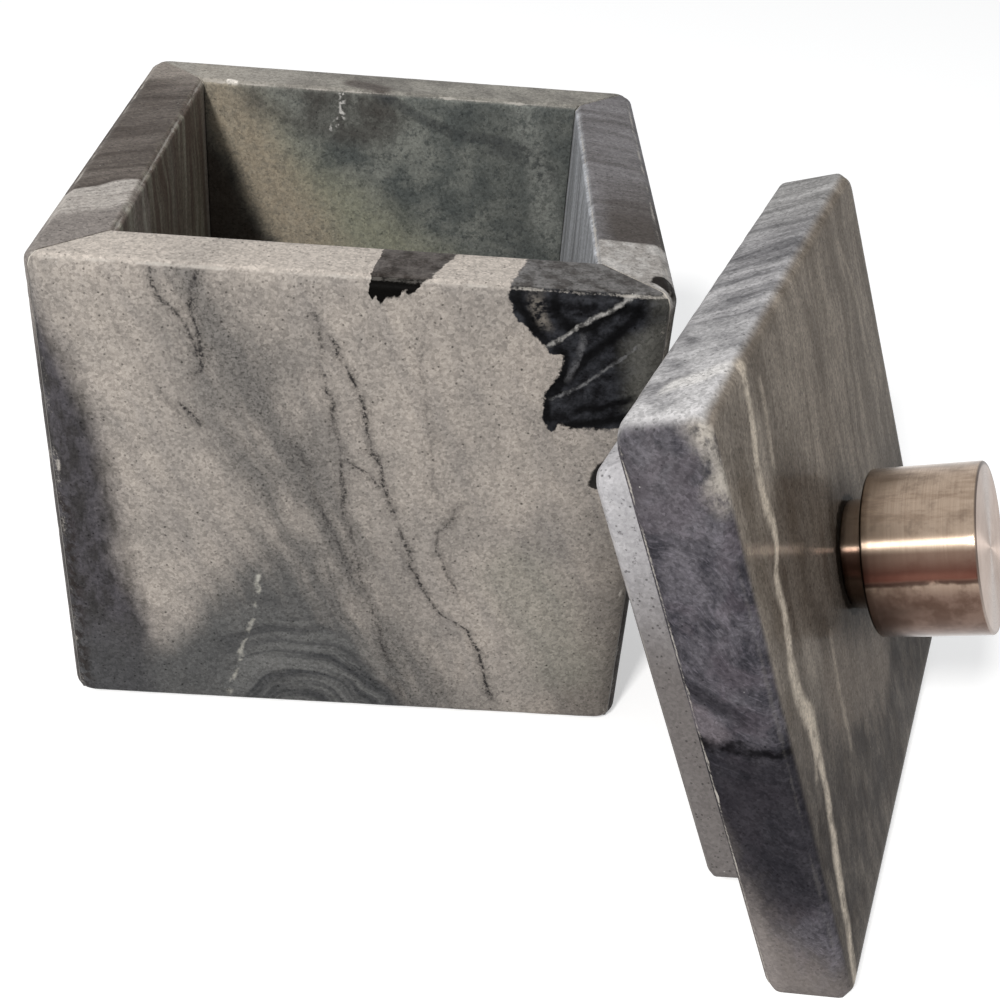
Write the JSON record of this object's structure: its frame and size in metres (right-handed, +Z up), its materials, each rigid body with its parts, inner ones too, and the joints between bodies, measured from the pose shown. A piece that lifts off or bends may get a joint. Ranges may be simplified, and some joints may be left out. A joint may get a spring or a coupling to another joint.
{
  "type": "lidded stone canister",
  "caption": "Square stone canister of mitred slabs with a lift-off lid and a round metal knob, the lid leaning on one corner.",
  "frame": {"origin": "middle of the canister's underside", "axes": "+Z up, -Y towards the canister's front wall, +X to the right, where the lid stands"},
  "size_m": [0.1691, 0.1658, 0.0967],
  "materials": {
    "front_marble": "satin",
    "right_marble": "satin",
    "back_marble": "satin",
    "left_marble": "satin",
    "floor_marble": "satin",
    "lid_marble": "satin",
    "plug_marble": "satin",
    "knob_metal": "satin",
    "screw_metal": "satin",
    "washer_metal": "satin"
  },
  "bodies": {
    "canister": {"front_wall": "front_marble", "right_wall": "right_marble", "back_wall": "back_marble", "left_wall": "left_marble", "floor_slab": "floor_marble"},
    "lid": {"lid_slab": "lid_marble", "lid_plug": "plug_marble", "knob": "knob_metal", "knob_screw": "screw_metal", "screw_washer": "washer_metal"}
  },
  "joints": [
    {"name": "lid_lift", "type": "slide", "parent": "canister", "child": "lid", "axis": [0, 0, 1], "range_m": [0, 0.12]}
  ]
}
